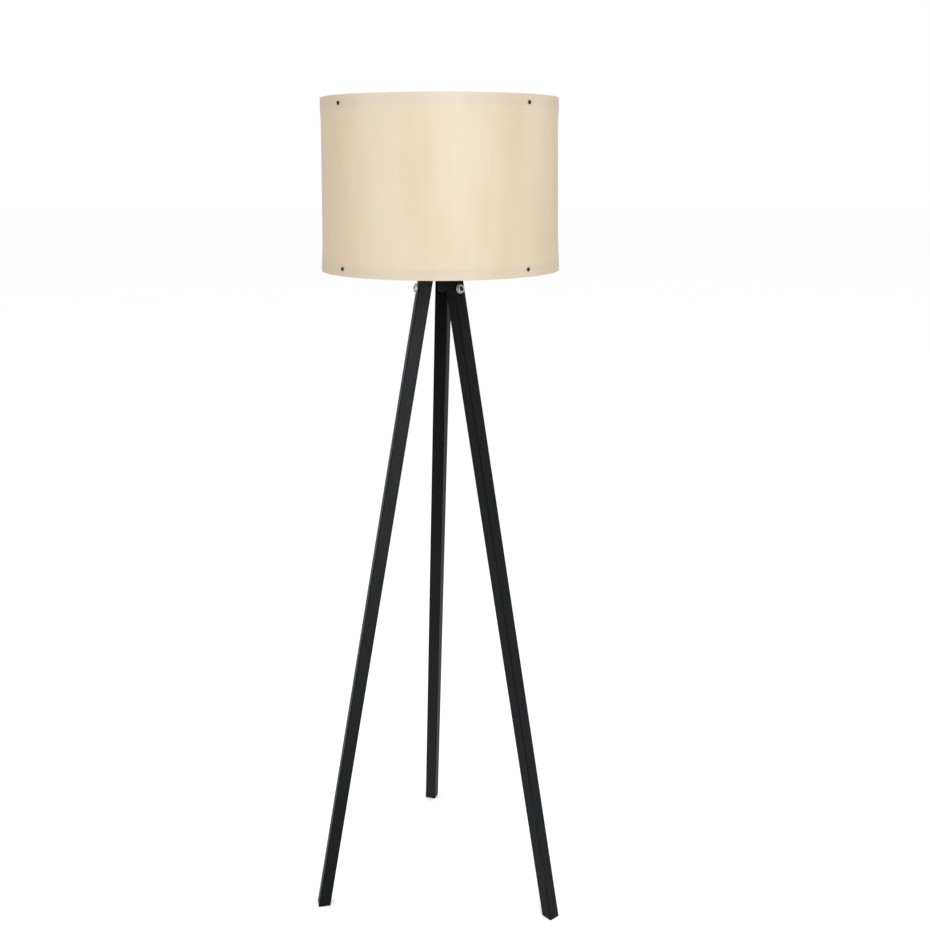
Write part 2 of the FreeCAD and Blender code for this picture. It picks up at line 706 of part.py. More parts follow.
def make_bulb():
    """A screw-base lamp bulb: tip, insulator, screw cap, housing and globe."""
    sub_part("bulb_tip", turned("bulb_tip", "$bulb_bottom", [
        ("0", "0"),
        ("$bulb_tip_radius * 0.7", "0"),
        ("$bulb_tip_radius", "$bulb_tip_height * 0.6"),
        ("$bulb_tip_radius", "$bulb_tip_height"),
        ("0", "$bulb_tip_height"),
    ]))
    cap_bottom = "$bulb_bottom + $bulb_tip_height + $bulb_insulator_height"
    sub_part("bulb_insulator", turned("bulb_insulator", "$bulb_bottom + $bulb_tip_height", [
        ("0", "0"),
        ("$bulb_tip_radius + 0.3", "0"),
        ("$bulb_neck_radius", "$bulb_insulator_height"),
        ("0", "$bulb_insulator_height"),
    ]))
    threads = ridges("$bulb_cap_root_radius", "$bulb_cap_radius", "1", "$sleeve_pitch", 5)
    sub_part("bulb_cap", turned("bulb_cap", cap_bottom, [
        ("0", "0"),
        ("$bulb_neck_radius", "0"),
        ("$bulb_cap_root_radius", "1"),
        *threads,
        ("$bulb_cap_root_radius", "$bulb_cap_height"),
        ("$bulb_cap_root_radius - $bulb_cap_wall", "$bulb_cap_height"),
        ("$bulb_cap_root_radius - $bulb_cap_wall", "1.5"),
        ("0", "1.5"),
    ]))
    housing_bottom = cap_bottom + " + $bulb_cap_height"
    sub_part("bulb_housing", turned("bulb_housing", housing_bottom, [
        ("0", "0"),
        ("$bulb_housing_foot", "0"),
        ("$bulb_housing_foot + 1", "$bulb_housing_height * 0.1"),
        ("$bulb_housing_radius * 0.76", "$bulb_housing_height * 0.5"),
        ("$bulb_housing_radius * 0.95", "$bulb_housing_height * 0.82"),
        ("$bulb_housing_radius", "$bulb_housing_height"),
        ("$bulb_housing_radius - $bulb_wall", "$bulb_housing_height"),
        ("$bulb_housing_radius * 0.95 - $bulb_wall", "$bulb_housing_height * 0.82"),
        ("$bulb_housing_radius * 0.76 - $bulb_wall", "$bulb_housing_height * 0.5"),
        ("$bulb_housing_foot + 1 - $bulb_wall", "$bulb_housing_height * 0.1"),
        ("0", "$bulb_housing_height * 0.1"),
    ]))
    rim = sum(size(alias) for alias in ("bulb_bottom", "bulb_tip_height", "bulb_insulator_height",
                                        "bulb_cap_height", "bulb_housing_height"))
    centre = move(z=rim - size("bulb_globe_cut"))
    outside = solid("Sphere", "globe_outside", centre, Radius="$bulb_globe_radius",
                    Angle1="asin($bulb_globe_cut / $bulb_globe_radius)")
    inside = solid("Sphere", "globe_inside", centre, Radius="$bulb_globe_radius - $bulb_globe_wall")
    sub_part("bulb_globe", cut("bulb_globe", outside, [inside]))


make_legs()
make_hub()
make_stud_sets()
make_nipple()
make_lampholder()
make_ring_nut()
make_spider()
make_shade()
make_bulb()
doc.recompute()

failed = [item.Name for item in doc.Objects if {"Invalid", "Error"} & set(item.State)]
failed += [item.Label for item in parts if item.Shape.isNull() or not item.Shape.isValid()]
if failed:
    raise SystemExit("failed: " + ", ".join(failed))

os.makedirs("parts", exist_ok=True)
for item in parts:
    item.Shape.exportStep(f"parts/{item.Label}.step")
    box = item.Shape.BoundBox
    print(f"{item.Label:20s} solids {len(item.Shape.Solids):2d} volume {item.Shape.Volume:10.1f} "
          f"z {box.ZMin:8.2f} to {box.ZMax:8.2f}")
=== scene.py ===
import json
import math

import bmesh
import bpy
from mathutils import Matrix, Vector


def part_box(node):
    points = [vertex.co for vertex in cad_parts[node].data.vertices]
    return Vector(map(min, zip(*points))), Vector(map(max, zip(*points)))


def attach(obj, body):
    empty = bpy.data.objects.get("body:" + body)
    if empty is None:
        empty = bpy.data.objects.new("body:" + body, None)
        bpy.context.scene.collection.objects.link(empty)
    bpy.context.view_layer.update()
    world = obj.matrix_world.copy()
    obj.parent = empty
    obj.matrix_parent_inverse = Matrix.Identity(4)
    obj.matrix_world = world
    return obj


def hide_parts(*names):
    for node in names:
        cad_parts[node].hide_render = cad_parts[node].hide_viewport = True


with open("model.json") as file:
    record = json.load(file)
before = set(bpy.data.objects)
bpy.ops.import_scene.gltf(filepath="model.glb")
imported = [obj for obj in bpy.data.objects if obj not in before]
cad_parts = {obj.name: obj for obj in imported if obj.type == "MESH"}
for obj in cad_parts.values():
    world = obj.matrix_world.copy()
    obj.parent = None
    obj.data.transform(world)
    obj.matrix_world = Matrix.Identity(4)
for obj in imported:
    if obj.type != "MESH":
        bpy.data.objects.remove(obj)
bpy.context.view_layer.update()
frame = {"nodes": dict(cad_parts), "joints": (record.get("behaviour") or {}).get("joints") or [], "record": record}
record = frame["record"]
mounts = {mount["name"]: mount for mount in record["mounts"]}
joints = {joint["name"]: joint for joint in frame["joints"]}

# The camera stands in front of the lamp, a little above its hub, and looks down at it. Its place is
# in metres, its tilt and roll are in degrees, and its lens and sensor are in millimetres.
CAMERA_PLACE = (0.0411, -1.9917, 1.3505)
CAMERA_TILT = 14.855
CAMERA_ROLL = -0.097
CAMERA_FOCAL = 44.516
CAMERA_SENSOR = 36.0

MM = 0.001
ROUND = 2 * math.pi

# How wide the legs are at their two ends, in millimetres.
LEG_TOP_WIDTH = 22.9
LEG_FOOT_WIDTH = 21.4
SIDES = ("back", "left", "right")

# The pitches of the shade ring's thread and of the bulb's, in millimetres.
SHELL_PITCH = 3.0
LAMP_PITCH = 3.6

# How light each leg's black is drawn at its top and at its foot: painted light and shade, with the back leg's top
# darkened as painted shadow under the shade and the left leg's top lightened as painted light.
LEG_LIGHT_AND_SHADE_TONES = {"back": (0.15, 1.35), "left": (2.2, 0.55), "right": (0.8, 1.05)}


# ---------------------------------------------------------------- camera, floor and light


def aim_camera():
    """A camera at the lamp's front with its own tilt and a trace of roll."""
    data = bpy.data.cameras.new("camera")
    data.lens = CAMERA_FOCAL
    data.sensor_width = CAMERA_SENSOR
    data.clip_end = 100
    camera = bpy.data.objects.new("camera", data)
    facing = turn("X", math.radians(90 - CAMERA_TILT)) @ turn("Z", math.radians(CAMERA_ROLL))
    camera.matrix_world = shift(*CAMERA_PLACE) @ facing
    bpy.context.scene.collection.objects.link(camera)
    bpy.context.scene.camera = camera


def area_light(name, place, target, width, height, power, colour=(1, 1, 1)):
    """A soft rectangular light that faces a point."""
    data = bpy.data.lights.new(name, "AREA")
    data.shape = "RECTANGLE"
    data.size = width
    data.size_y = height
    data.energy = power
    data.color = colour
    light = bpy.data.objects.new(name, data)
    facing = (Vector(target) - Vector(place)).to_track_quat("-Z", "Y")
    light.matrix_world = Matrix.Translation(place) @ facing.to_matrix().to_4x4()
    bpy.context.scene.collection.objects.link(light)


def light_studio():
    """White surroundings, a large soft light in front and a wide one overhead."""
    world = bpy.data.worlds.new("studio")
    world.use_nodes = True
    tree = world.node_tree
    sky = tree.nodes["Background"]
    sky.inputs["Color"].default_value = (1, 1, 1, 1)
    sky.inputs["Strength"].default_value = 1.0
    bpy.context.scene.world = world
    area_light("key", place=(0.45, -3.0, 2.2), target=(0, 0, 1.1), width=1.5, height=1.5, power=62,
               colour=(0.9, 1.0, 1.1))
    area_light("overhead", place=(0, -1.0, 4.5), target=(0, -1.0, 0), width=4.0, height=4.0, power=26)


def lay_floor():
    """A wide pale floor."""
    reach = 30
    mesh = bpy.data.meshes.new("floor")
    corners = [(-reach, -reach, 0), (reach, -reach, 0), (reach, reach, 0), (-reach, reach, 0)]
    mesh.from_pydata(corners, [], [(0, 1, 2, 3)])
    floor = bpy.data.objects.new("floor", mesh)
    bpy.context.scene.collection.objects.link(floor)
    finish = Finish("pale_floor")
    cloud = finish.noise(finish.place(), 1.5, detail=2)
    finish.surface(Base_Color=finish.mix(cloud, (0.985, 0.985, 0.985), (0.995, 0.995, 0.995)), Roughness=0.9)
    mesh.materials.append(finish.material)


# ---------------------------------------------------------------- shader expressions


class Wire:
    """A number carried by a socket: Python's operators on it add Math nodes."""

    def __init__(self, finish, socket):
        self.finish = finish
        self.socket = socket

    def maths(self, operation, *values):
        return self.finish.node("ShaderNodeMath", {"operation": operation}, values)

    def __add__(self, other):
        return self.maths("ADD", self, other)

    __radd__ = __add__

    def __sub__(self, other):
        return self.maths("SUBTRACT", self, other)

    def __rsub__(self, other):
        return self.maths("SUBTRACT", other, self)

    def __mul__(self, other):
        return self.maths("MULTIPLY", self, other)

    __rmul__ = __mul__

    def __truediv__(self, other):
        return self.maths("DIVIDE", self, other)

    def __abs__(self):
        return self.maths("ABSOLUTE", self)

    def wave(self):
        """The sine of this number."""
        return self.maths("SINE", self)

    def step(self, low, high):
        """0 below low, 1 above high, and a smooth rise between them."""
        settings = {"interpolation_type": "SMOOTHSTEP"}
        return self.finish.node("ShaderNodeMapRange", settings, (self, low, high, 0.0, 1.0))


class Finish:
    """A material under construction."""

    def __init__(self, name):
        self.material = bpy.data.materials.new(name)
        self.material.use_nodes = True
        self.tree = self.material.node_tree
        self.shader = self.tree.nodes["Principled BSDF"]
        self.output = self.tree.nodes["Material Output"]

    def feed(self, socket, value):
        """Set a socket from a number, a colour, a vector, or a wire."""
        if isinstance(value, Wire):
            self.tree.links.new(value.socket, socket)
        elif isinstance(value, tuple) and len(value) == 3 and socket.type == "RGBA":
            socket.default_value = (*value, 1)
        else:
            socket.default_value = value

    def node(self, kind, settings=None, inputs=(), output=0):
        """Add a node: its settings first, then its inputs in order or by name, and give one output."""
        node = self.tree.nodes.new(kind)
        for key, value in (settings or {}).items():
            setattr(node, key, value)
        pairs = inputs.items() if isinstance(inputs, dict) else enumerate(inputs)
        for key, value in pairs:
            self.feed(node.inputs[key], value)
        return Wire(self, node.outputs[output])

    def place(self):
        """The point on the object, in metres, in the lamp's frame at rest."""
        return self.node("ShaderNodeTexCoord", output="Object")

    def vector(self, operation, *values, output=0):
        return self.node("ShaderNodeVectorMath", {"operation": operation}, values, output)

    def stretch(self, place, scale):
        """Coordinates multiplied by a vector."""
        return self.vector("MULTIPLY", place, scale)

    def dot(self, place, direction):
        return self.vector("DOT_PRODUCT", place, tuple(direction), output="Value")

    def along(self, place, letter):
        """One of a vector's three numbers."""
        return self.node("ShaderNodeSeparateXYZ", None, (place,), output=letter)

    def noise(self, place, scale, detail=3.0, roughness=0.5):
        inputs = {"Vector": place, "Scale": scale, "Detail": detail, "Roughness": roughness}
        return self.node("ShaderNodeTexNoise", None, inputs)

    def cells(self, place, scale):
        """The distance to the middle of the nearest of many small cells."""
        return self.node("ShaderNodeTexVoronoi", None, {"Vector": place, "Scale": scale})

    def mix(self, share, first, second):
        """A colour between two colours."""
        settings = {"data_type": "RGBA"}
        return self.node("ShaderNodeMix", settings, {0: share, 6: first, 7: second}, output=2)

    def bump(self, height, distance, strength=1.0):
        """A normal from a height field; distance is in metres."""
        inputs = {"Height": height, "Distance": distance, "Strength": strength}
        return self.node("ShaderNodeBump", None, inputs)

    def surface(self, **sockets):
        """Feed the main shader's sockets, with _ for the spaces in their names."""
        for name, value in sockets.items():
            self.feed(self.shader.inputs[name.replace("_", " ")], value)


# ---------------------------------------------------------------- reading sizes off the frame


def bottom(node):
    """A node's lowest height in millimetres."""
    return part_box(node)[0].z / MM


def top(node):
    """A node's greatest height in millimetres."""
    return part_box(node)[1].z / MM


def points_of(node):
    """A node's own points in millimetres."""
    return [vertex.co / MM for vertex in frame["nodes"][node].data.vertices]


def round_reach(node, low=None, high=None):
    """A node's largest distance from the lamp's axis, between two heights if they are given."""
    return max(
        point.to_2d().length
        for point in points_of(node)
        if (low is None or point.z >= low) and (high is None or point.z <= high)
    )


def headings(node):
    """The directions from the lamp's axis in which a node's separate solids lie."""
    gap = math.radians(15)
    angles = sorted(math.atan2(point.y, point.x) for point in points_of(node))
    groups = [[angles[0]]]
    for angle in angles[1:]:
        if angle - groups[-1][-1] > gap:
            groups.append([])
        groups[-1].append(angle)
    return [(group[0] + group[-1]) / 2 for group in groups]


def stud_place(side):
    """A stud's own frame in millimetres: origin at the leg's pivot, Z outwards, X down in the ear's plane."""
    joint = joints[f"leg_{side}_swing"]
    outwards = Vector(joint["axis"]).normalized()
    down = Vector((0, 0, -1))
    down = (down - outwards * down.dot(outwards)).normalized()
    facing = Matrix((down, outwards.cross(down), outwards)).transposed()
    return Matrix.Translation(Vector(joint["pos_m"]) / MM) @ facing.to_4x4()


def stud_span(node, side):
    """Where a node begins and ends along its stud, and how far it reaches from the stud's axis."""
    inwards = stud_place(side).inverted()
    points = [inwards @ point for point in points_of(node)]
    heights = [point.z for point in points]
    return min(heights), max(heights), max(point.to_2d().length for point in points)


def leg_line(side):
    """A leg's pivot and foot, both on its centre line, in metres, and the way its stud points."""
    joint = joints[f"leg_{side}_swing"]
    foot = mounts[f"foot_{side}"]["pos_m"]
    return Vector(joint["pos_m"]), Vector(foot), Vector(joint["axis"]).normalized()


# ---------------------------------------------------------------- shaping, in millimetres


def soften(corners, radius, steps=4):
    """Round the corners of a closed outline, except those on the axis."""
    most = 0.45
    rounded = []
    for i, corner in enumerate(corners):
        here = Vector(corner)
        if here.x < 1e-6:
            rounded.append(tuple(here))
            continue
        back = Vector(corners[i - 1]) - here
        ahead = Vector(corners[(i + 1) % len(corners)]) - here
        reach = min(radius, back.length * most, ahead.length * most)
        start = here + back.normalized() * reach
        end = here + ahead.normalized() * reach
        for k in range(steps + 1):
            share = k / steps
            point = start * (1 - share) ** 2 + here * 2 * share * (1 - share) + end * share**2
            rounded.append(tuple(point))
    return rounded


def turned(profile, sides=96):
    """A closed skin round Z. The profile is a closed outline of (radius, height) or gives one per angle."""
    skin = bmesh.new()
    poles = {}
    columns = []
    for i in range(sides):
        angle = ROUND * i / sides
        column = []
        for k, (radius, height) in enumerate(profile(angle) if callable(profile) else profile):
            if radius < 1e-6:
                if k not in poles:
                    poles[k] = skin.verts.new((0, 0, height))
                column.append(poles[k])
            else:
                spot = (radius * math.cos(angle), radius * math.sin(angle), height)
                column.append(skin.verts.new(spot))
        columns.append(column)
    for i, here in enumerate(columns):
        there = columns[(i + 1) % sides]
        for k in range(len(here)):
            after = (k + 1) % len(here)
            corners = list(dict.fromkeys([here[k], there[k], there[after], here[after]]))
            if len(corners) > 2:
                skin.faces.new(corners)
    bmesh.ops.recalc_face_normals(skin, faces=skin.faces)
    return skin


def thread(root, crest, start, end, pitch, angle, steps=8):
    """Points up one side of a screw thread at one angle, fading out at both ends."""
    count = round((end - start) / pitch * steps)
    rise = (end - start) / count
    points = []
    for i in range(count + 1):
        height = start + i * rise
        ridge = 0.5 - 0.5 * math.cos(ROUND * (height / pitch - angle / ROUND))
        fade = min(1, (height - start) / (0.6 * pitch), (end - height) / (0.6 * pitch))
        points.append((root + (crest - root) * ridge * max(fade, 0), height))
    return points


def grooves(angle, count, width):
    """How deep inside the nearest of evenly spaced grooves an angle is, from 0 to 1."""
    pitch = ROUND / count
    away = abs((angle + pitch / 2) % pitch - pitch / 2)
    return math.sqrt(max(0, 1 - (away / width) ** 2))


def held(share):
    """A share kept between 0 and 1."""
    return min(max(share, 0), 1)


def eased(share):
    """A smooth rise from 0 to 1 as a share goes from 0 to 1."""
    return share * share * (3 - 2 * share)


def plate(outline, low, high, edge):
    """A flat plate cut to an outline, its edges rounded over."""
    skin = bmesh.new()
    lower = [skin.verts.new((x, y, low)) for x, y in outline]
    upper = [skin.verts.new((x, y, high)) for x, y in outline]
    skin.faces.new(list(reversed(lower)))
    skin.faces.new(upper)
    for i in range(len(outline)):
        j = (i + 1) % len(outline)
        skin.faces.new([lower[i], lower[j], upper[j], upper[i]])
    bmesh.ops.recalc_face_normals(skin, faces=skin.faces)
    round_edges(skin, edge)
    return skin


def round_edges(skin, radius, steeper=40, steps=2):
    """Round over every edge that is steeper than an angle."""
    sharp = [
        edge for edge in skin.edges
        if edge.is_manifold and edge.calc_face_angle() > math.radians(steeper)
    ]
    bmesh.ops.bevel(skin, geom=sharp, offset=radius, segments=steps, affect="EDGES",
                    profile=0.5, clamp_overlap=True)


def placed(skin, *steps):
    """Move a skin by one or more matrices, the last given first."""
    place = Matrix.Identity(4)
    for step in steps:
        place = place @ step
    skin.transform(place)
    return skin


def shift(x=0, y=0, z=0):
    return Matrix.Translation((x, y, z))


def turn(axis, angle):
    return Matrix.Rotation(angle, 4, axis)


def carved(skin, tool):
    """A skin with the space of a tool taken out of it."""
    things = []
    for name, shape in (("blank", skin), ("tool", tool)):
        mesh = bpy.data.meshes.new(name)
        shape.to_mesh(mesh)
        shape.free()
        things.append(bpy.data.objects.new(name, mesh))
        bpy.context.scene.collection.objects.link(things[-1])
    blank, cutter = things
    boolean = blank.modifiers.new("carve", "BOOLEAN")
    boolean.operation = "DIFFERENCE"
    boolean.solver = "EXACT"
    boolean.object = cutter
    settled = blank.evaluated_get(bpy.context.evaluated_depsgraph_get())
    result = bmesh.new()
    result.from_mesh(settled.to_mesh())
    settled.to_mesh_clear()
    for thing in things:
        bpy.data.objects.remove(thing)
    return result


def make_piece(name, skins, body, finish, nodes, sharp=35):
    """Join skins into one object in metres that rides on a body and stands for its CAD nodes."""
    mesh = bpy.data.meshes.new(name)
    whole = bmesh.new()
    for skin in skins:
        skin.to_mesh(mesh)
        skin.free()
        whole.from_mesh(mesh)
    whole.transform(Matrix.Scale(MM, 4))
    whole.to_mesh(mesh)
    whole.free()
    mesh.polygons.foreach_set("use_smooth", [True] * len(mesh.polygons))
    mesh.set_sharp_from_angle(angle=math.radians(sharp))
    mesh.materials.append(finish)
    thing = bpy.data.objects.new(name, mesh)
    bpy.context.scene.collection.objects.link(thing)
    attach(thing, body)
    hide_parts(*nodes)
    return thing


# ---------------------------------------------------------------- finishes


def shade_film_finish():
    """Cream laminated film: satin, mottled in broad upright patches, letting some light through, and darker where
    the rings stand behind it as painted shade.
    """
    finish = Finish("cream_laminated_film")
    place = finish.place()
    # The mottle is shifted sideways so that a lighter patch falls right of the middle and a darker one at the
    # middle: partly the film's own mottle, partly a painted highlight.
    mottle_and_highlight_shift = (0.055, 0.0, 0.0)
    shifted = finish.vector("SUBTRACT", place, mottle_and_highlight_shift)
    patches = finish.noise(finish.stretch(shifted, (1, 1, 0.22)), 11, detail=3, roughness=0.55)
    streaks = finish.noise(finish.stretch(place, (1, 1, 0.05)), 120, detail=3)
    fibres = finish.noise(finish.stretch(place, (1, 1, 0.6)), 1400, detail=3, roughness=0.6)
    tone = (patches * 0.66 + streaks * 0.14 + fibres * 0.2).step(0.32, 0.68)
    height = finish.along(place, "Z")
    blur, inset = 0.0025, 0.001
    upper_edge, lower_edge = bottom("upper_ring") * MM, top("lower_ring") * MM
    beside_upper = height.step(upper_edge - blur, upper_edge + inset)
    above_lower = height.step(lower_edge - inset, lower_edge + blur)
    # Beside each ring the colour is darker: painted shade of the ring seen through the film.
    free = finish.mix(tone, (0.553, 0.448, 0.316), (0.600, 0.512, 0.386))
    painted_ring_shadow = finish.mix(tone, (0.528, 0.434, 0.320), (0.573, 0.496, 0.390))
    finish.surface(
        Base_Color=finish.mix(beside_upper + (1 - above_lower), free, painted_ring_shadow),
        Roughness=0.42 + 0.1 * patches + 0.06 * fibres,
        Normal=finish.bump(fibres * 0.6 + streaks * 0.4, 0.00005, 0.5),
    )
    finish.shader.inputs["Specular IOR Level"].default_value = 0.5
    through = finish.tree.nodes.new("ShaderNodeBsdfTranslucent")
    through.inputs["Color"].default_value = (0.95, 0.62, 0.30, 1)
    both = finish.tree.nodes.new("ShaderNodeMixShader")
    both.inputs["Fac"].default_value = 0.2
    finish.tree.links.new(finish.shader.outputs[0], both.inputs[1])
    finish.tree.links.new(through.outputs[0], both.inputs[2])
    finish.tree.links.new(both.outputs[0], finish.output.inputs["Surface"])
    return finish.material


def cut_edge_finish():
    """The film's cut edge, where its pale core shows between the layers."""
    finish = Finish("film_cut_edge")
    nicks = finish.noise(finish.place(), 900, detail=4)
    finish.surface(
        Base_Color=finish.mix(nicks, (0.78, 0.70, 0.58), (0.88, 0.82, 0.72)),
        Roughness=0.65 + 0.2 * nicks,
        Normal=finish.bump(nicks, 0.0001, 0.6),
    )
    return finish.material


def leg_paint_finish(side):
    """Satin black sprayed on planed softwood: long grain, corners of a deeper black, a little wear, and painted
    light and shade that lighten or darken each leg from top to foot.
    """
    finish = Finish(f"black_painted_wood_{side}")
    pivot, foot, outwards = leg_line(side)
    length = (pivot - foot).length
    along = (pivot - foot).normalized()
    place = finish.vector("SUBTRACT", finish.place(), tuple(pivot))
    lengthwise = finish.dot(place, along)
    sideways = finish.dot(place, along.cross(outwards))
    depthwise = finish.dot(place, outwards)
    inputs = {"X": sideways, "Y": depthwise, "Z": lengthwise * 0.045}
    grain_place = finish.node("ShaderNodeCombineXYZ", None, inputs)
    warp = finish.noise(grain_place, 60, detail=2)
    rings = (sideways * 900 + depthwise * 420 + lengthwise * 9 + warp * 14).wave() * 0.5 + 0.5
    pores = finish.noise(grain_place, 1100, detail=4, roughness=0.65)
    patches = finish.noise(place, 9, detail=3)
    dust = finish.noise(place, 2600, detail=2)
    taper = (LEG_TOP_WIDTH - LEG_FOOT_WIDTH) * MM / length
    half_width = LEG_TOP_WIDTH / 2 * MM + lengthwise * (taper / 2)
    outwardness = (abs(sideways) + abs(depthwise)) / half_width
    corner = outwardness.step(1.8, 1.94)
    wear = corner * (patches + 0.5 * pores).step(0.8, 1.05)
    # Each leg's black runs from its top tone to its foot tone: painted light and shade.
    shades = []
    for tone in LEG_LIGHT_AND_SHADE_TONES[side]:
        dark = tuple(tone * part for part in (0.006, 0.0061, 0.0066))
        light = tuple(tone * part for part in (0.011, 0.011, 0.0116))
        shades.append(finish.mix(pores.step(0.35, 0.7), dark, light))
    painted_light_coat = finish.mix(lengthwise * (-1 / length), *shades)
    lined = finish.mix(corner * 0.85, painted_light_coat, (0.0004, 0.0004, 0.0005))
    finish.surface(
        Base_Color=finish.mix(wear, lined, (0.018, 0.0175, 0.017)),
        Roughness=0.4 + 0.14 * pores + 0.1 * patches + 0.12 * corner,
        Normal=finish.bump(rings * 0.35 + pores * 0.5 + dust * 0.15, 0.00012, 0.55),
    )
    finish.shader.inputs["Specular IOR Level"].default_value = 0.06
    return finish.material


def powder_coat_finish(name, dark, light, roughness, gloss=0.5):
    """Powder coat on steel: the faint dimples of orange peel and slightly uneven gloss."""
    finish = Finish(name)
    place = finish.place()
    dimples = finish.noise(place, 1300, detail=2, roughness=0.45)
    patches = finish.noise(place, 45, detail=3)
    finish.surface(
        Base_Color=finish.mix(patches, dark, light),
        Roughness=roughness + 0.1 * patches,
        Normal=finish.bump(dimples, 0.0001, 0.5),
    )
    finish.shader.inputs["Specular IOR Level"].default_value = gloss
    return finish.material


def zinc_finish():
    """Bright zinc plating on steel: small spangles, faint yellow and blue tints, dull scuffs."""
    finish = Finish("bright_zinc_plating")
    place = finish.place()
    spangle = finish.cells(place, 900)
    tint = finish.noise(place, 160, detail=3)
    scuffs = finish.noise(finish.stretch(place, (1, 1, 3)), 1400, detail=4, roughness=0.7)
    plate_colour = finish.mix(tint, (0.44, 0.45, 0.47), (0.62, 0.59, 0.53))
    finish.surface(
        Base_Color=finish.mix(scuffs.step(0.55, 0.8), plate_colour, (0.32, 0.32, 0.32)),
        Metallic=1.0,
        Roughness=0.14 + 0.1 * spangle + 0.16 * scuffs,
        Normal=finish.bump(scuffs + 0.4 * spangle, 0.00004, 0.5),
    )
    return finish.material


def brass_finish():
    """Stamped brass, a little tarnished."""
    finish = Finish("stamped_brass")
    place = finish.place()
    tarnish = finish.noise(place, 220, detail=4)
    brushing = finish.noise(finish.stretch(place, (1, 1, 14)), 260, detail=3)
    finish.surface(
        Base_Color=finish.mix(tarnish.step(0.35, 0.75), (0.80, 0.60, 0.30), (0.50, 0.34, 0.16)),
        Metallic=1.0,
        Roughness=0.24 + 0.25 * tarnish,
        Normal=finish.bump(brushing, 0.00003, 0.5),
    )
    return finish.material


def moulded_finish(name, dark, light, roughness, texture=1700):
    """Moulded plastic with a fine spark-eroded texture and faint flow marks."""
    finish = Finish(name)
    place = finish.place()
    grain = finish.noise(place, texture, detail=3, roughness=0.6)
    flow = finish.noise(finish.stretch(place, (1, 1, 0.3)), 60, detail=3)
    finish.surface(
        Base_Color=finish.mix(flow * 0.7 + grain * 0.3, dark, light),
        Roughness=roughness + 0.14 * grain + 0.08 * flow,
        Normal=finish.bump(grain, 0.00006, 0.5),
    )
    return finish.material


def core_block_finish():
    """Cream insulating block: fine pits and specks under a thin glaze."""
    finish = Finish("cream_insulating_block")
    place = finish.place()
    specks = finish.cells(place, 700).step(0.05, 0.22)
    clay = finish.noise(place, 240, detail=4)
    finish.surface(
        Base_Color=finish.mix(specks, (0.55, 0.50, 0.42), (0.80, 0.76, 0.67)),
        Roughness=0.38 + 0.2 * clay,
        Coat_Weight=0.2 + 0.2 * clay,
        Normal=finish.bump(clay + 0.3 * specks, 0.00008, 0.5),
    )
    return finish.material


def fibreboard_finish(node):
    """Raw fibreboard: pressed fibres on its faces and darker, rougher cut edges."""
    finish = Finish(f"raw_fibreboard_{node}")
    place = finish.place()
    fibres = finish.noise(finish.stretch(place, (1, 1, 4)), 800, detail=5, roughness=0.7)
    clumps = finish.noise(place, 90, detail=3)
    height = finish.along(place, "Z")
    middle = (bottom(node) + top(node)) / 2 * MM
    half = (top(node) - bottom(node)) / 2 * MM
    core = 1 - abs(height - middle).step(half * 0.55, half * 0.97)
    pressed = (fibres * 0.7 + clumps * 0.3).step(0.3, 0.72)
    face = finish.mix(pressed, (0.30, 0.205, 0.12), (0.47, 0.345, 0.22))
    finish.surface(
        Base_Color=finish.mix(core * 0.45, face, (0.24, 0.15, 0.085)),
        Roughness=0.78 + 0.15 * fibres,
        Normal=finish.bump(fibres + 0.5 * clumps, 0.00018, 0.7),
    )
    return finish.material


def black_screw_finish():
    """Black oxide on steel, rubbed a little paler in places."""
    finish = Finish("black_screw_finish")
    place = finish.place()
    rub = finish.noise(place, 600, detail=4)
    fine = finish.noise(place, 3500, detail=2)
    finish.surface(
        Base_Color=finish.mix(rub.step(0.5, 0.8), (0.006, 0.0055, 0.005), (0.02, 0.019, 0.018)),
        Roughness=0.4 + 0.2 * fine,
        Normal=finish.bump(fine, 0.00003, 0.4),
    )
    finish.shader.inputs["Specular IOR Level"].default_value = 0.3
    return finish.material


def bulb_cap_finish():
    """Nickel-plated screw cap with rolling marks round the thread."""
    finish = Finish("nickel_screw_cap")
    place = finish.place()
    rolling = finish.noise(finish.stretch(place, (1, 1, 22)), 140, detail=4)
    smears = finish.noise(place, 120, detail=3)
    finish.surface(
        Base_Color=finish.mix(smears, (0.62, 0.60, 0.57), (0.80, 0.79, 0.77)),
        Metallic=1.0,
        Roughness=0.2 + 0.15 * rolling + 0.12 * smears,
        Normal=finish.bump(rolling, 0.00003, 0.5),
    )
    return finish.material


def diffuser_finish():
    """Opal bulb globe: milky and smooth, faintly mottled."""
    finish = Finish("opal_globe")
    place = finish.place()
    mottle = finish.noise(place, 55, detail=3)
    haze = finish.noise(place, 900, detail=2)
    finish.surface(
        Base_Color=finish.mix(mottle, (0.86, 0.85, 0.81), (0.93, 0.925, 0.90)),
        Roughness=0.22 + 0.1 * haze,
        Normal=finish.bump(haze, 0.00002, 0.4),
    )
    finish.shader.inputs["Subsurface Weight"].default_value = 0.35
    finish.shader.inputs["Subsurface Radius"].default_value = (0.012, 0.011, 0.009)
    finish.shader.inputs["Subsurface Scale"].default_value = 1.0
    return finish.material


# ---------------------------------------------------------------- the shade


